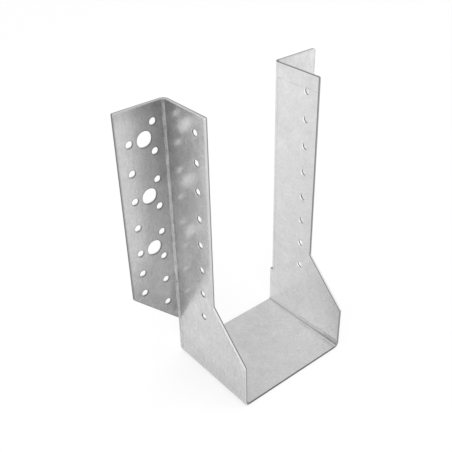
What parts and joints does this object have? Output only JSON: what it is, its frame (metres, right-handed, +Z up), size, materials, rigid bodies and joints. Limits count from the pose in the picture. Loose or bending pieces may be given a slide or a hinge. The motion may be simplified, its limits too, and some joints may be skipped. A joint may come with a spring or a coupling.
{
  "type": "joist hanger",
  "caption": "Folded sheet-steel joist hanger with an open-topped pocket, tapered side plates and outward nailing flanges drilled for nails and bolts.",
  "frame": {"origin": "middle of the pocket's width, where the seat's upper face meets the header's face", "axes": "+X to the right along the header, +Y into the header, +Z up; the joist runs out along -Y"},
  "size_m": [0.166, 0.075, 0.207],
  "materials": {
    "galvanised_steel": "hot-dip galvanised sheet, satin grey with soft mottling and sheared edges"
  },
  "bodies": {
    "root": {"hanger": "galvanised_steel"}
  },
  "joints": []
}
